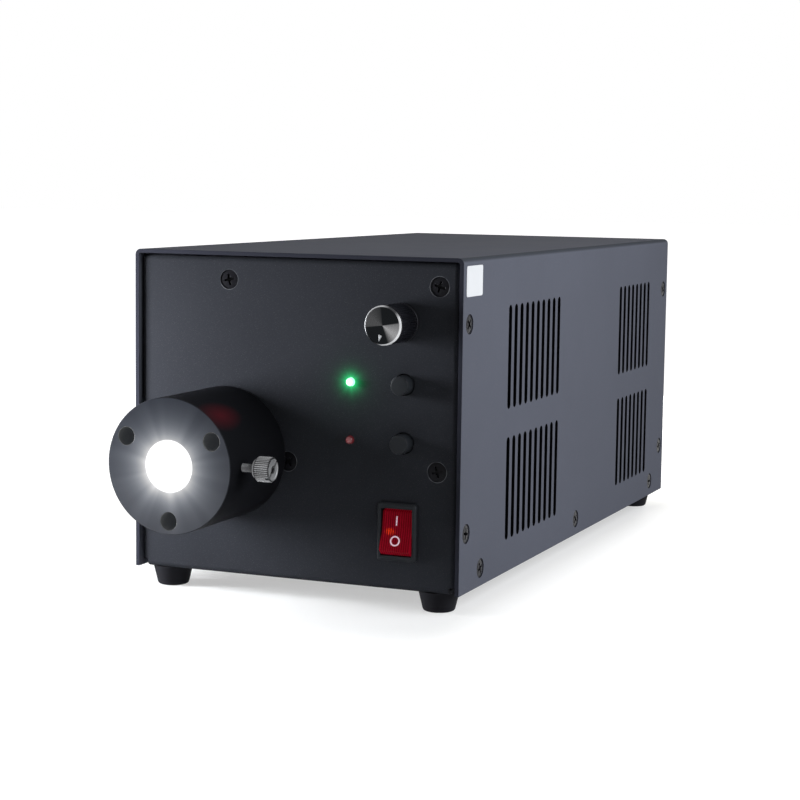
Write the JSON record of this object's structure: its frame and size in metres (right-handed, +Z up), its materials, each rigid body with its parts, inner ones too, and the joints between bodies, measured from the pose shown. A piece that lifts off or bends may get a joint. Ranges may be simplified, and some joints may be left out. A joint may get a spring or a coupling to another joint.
{
  "type": "fiber optic illuminator",
  "caption": "Bench light source in a vented metal case, with a clamped light-guide port, a dimmer knob, push buttons, signal lamps, a rocker power switch, and a fan and mains inlet at the rear.",
  "frame": {"origin": "on the bench, below the middle of the object's box", "axes": "+Z up, the front panel with the light port and knob faces -Y, +X to the right seen from the front"},
  "size_m": [0.1311, 0.319, 0.1275],
  "materials": {
    "case_paint": "fine satin powder coat, blue-grey",
    "panel_paint": "smooth satin powder coat, near black",
    "black_screws": "black oxide",
    "steel_screws": "zinc plated",
    "black_anodised": "turned, black anodised",
    "bright_metal": "nickel plated",
    "knob_black": "knurled, black anodised",
    "knob_face": "spun face, bright chamfer",
    "rubber": "matt",
    "black_plastic": "fine moulded grain",
    "clear_glass": "polished",
    "rocker_red": "translucent red, ribbed",
    "lamp_green": "clear green, lit",
    "lamp_red": "clear red, dark",
    "nylon": "natural",
    "sink_metal": "extruded",
    "zinc_sheet": "zinc plated sheet",
    "board_green": "solder mask",
    "part_black": "moulded",
    "emitter_yellow": "phosphor",
    "brass": "plated",
    "wire_cover": "smooth sleeve",
    "label_paper": "matt film"
  },
  "bodies": {
    "case": {"cover": "case_paint", "cover_screws": "black_screws", "chassis_tray": "panel_paint", "panel_screws": "black_screws", "feet": "rubber", "foot_screws": "steel_screws", "light_port_tube": "black_anodised", "port_screws": "black_screws", "port_window": "clear_glass", "lens_barrel": "black_anodised", "front_lens": "clear_glass", "lens_spacer": "black_anodised", "rear_lens": "clear_glass", "lens_retainer": "black_anodised", "lamp_emitter": "emitter_yellow", "lamp_board": "sink_metal", "heat_sink": "sink_metal", "heat_sink_stand": "zinc_sheet", "stand_screws": "steel_screws", "potentiometer": "part_black", "pot_nut": "bright_metal", "upper_button_spring": "bright_metal", "lower_button_spring": "bright_metal", "button_switches": "part_black", "led_green": "lamp_green", "led_red": "lamp_red", "led_spacers": "part_black", "control_standoffs": "brass", "control_board": "board_green", "control_parts": "part_black", "board_screws": "steel_screws", "switch_housing": "black_plastic", "switch_terminals": "brass", "fan_frame": "black_plastic", "fan_guard": "bright_metal", "fan_screws": "black_screws", "mains_inlet": "black_plastic", "inlet_pins": "brass", "inlet_screws": "black_screws", "supply_board": "board_green", "supply_parts": "part_black", "driver_board": "board_green", "driver_parts": "part_black", "board_standoffs": "brass", "mains_wires": "wire_cover", "control_wires": "wire_cover", "blank_label": "label_paper"},
    "knob_body": {"knob": "knob_black", "knob_skirt": "bright_metal", "knob_cap": "knob_face", "pot_shaft": "bright_metal"},
    "rocker_body": {"rocker": "rocker_red"},
    "upper_push": {"upper_button": "black_plastic"},
    "lower_push": {"lower_button": "black_plastic"},
    "clamp_pad": {"clamp_tip": "nylon"},
    "clamp_screw": {"thumbscrew": "bright_metal"},
    "fan_wheel": {"fan_rotor": "black_plastic"},
    "fuse_tray": {"fuse_drawer": "black_plastic", "fuse": "clear_glass"}
  },
  "joints": [
    {"name": "knob_turn", "type": "hinge", "parent": "case", "child": "knob_body", "pos_m": [0.0415, -0.11605, 0.1041], "axis": [0, 1, 0], "range_deg": [-300, 0]},
    {"name": "rocker_tip", "type": "hinge", "parent": "case", "child": "rocker_body", "pos_m": [0.0413, -0.11565, 0.0288], "axis": [1, 0, 0], "range_deg": [0, 24]},
    {"name": "upper_press", "type": "slide", "parent": "case", "child": "upper_push", "axis": [0, 1, 0], "range_m": [0, 0.0015], "stiffness_N_per_m": 800, "springref_m": -0.0005, "deforming": ["upper_button_spring"]},
    {"name": "lower_press", "type": "slide", "parent": "case", "child": "lower_push", "axis": [0, 1, 0], "range_m": [0, 0.0015], "stiffness_N_per_m": 800, "springref_m": -0.0005, "deforming": ["lower_button_spring"]},
    {"name": "clamp_travel", "type": "slide", "parent": "case", "child": "clamp_pad", "axis": [-1, 0, 0], "range_m": [-0.003, 0.0046]},
    {"name": "clamp_turn", "type": "hinge", "parent": "clamp_pad", "child": "clamp_screw", "pos_m": [0.0012, -0.14985, 0.0535], "axis": [-1, 0, 0], "range_deg": [-2160, 3312]},
    {"name": "fan_spin", "type": "hinge", "parent": "case", "child": "fan_wheel", "pos_m": [-0.018, 0.12945, 0.0705], "axis": [0, 1, 0], "continuous": true},
    {"name": "fuse_slide", "type": "slide", "parent": "case", "child": "fuse_tray", "axis": [0, 1, 0], "range_m": [0, 0.018]}
  ],
  "couplings": [
    {"joint": "clamp_turn", "follows": "clamp_travel", "rad_per_m": 12566}
  ]
}
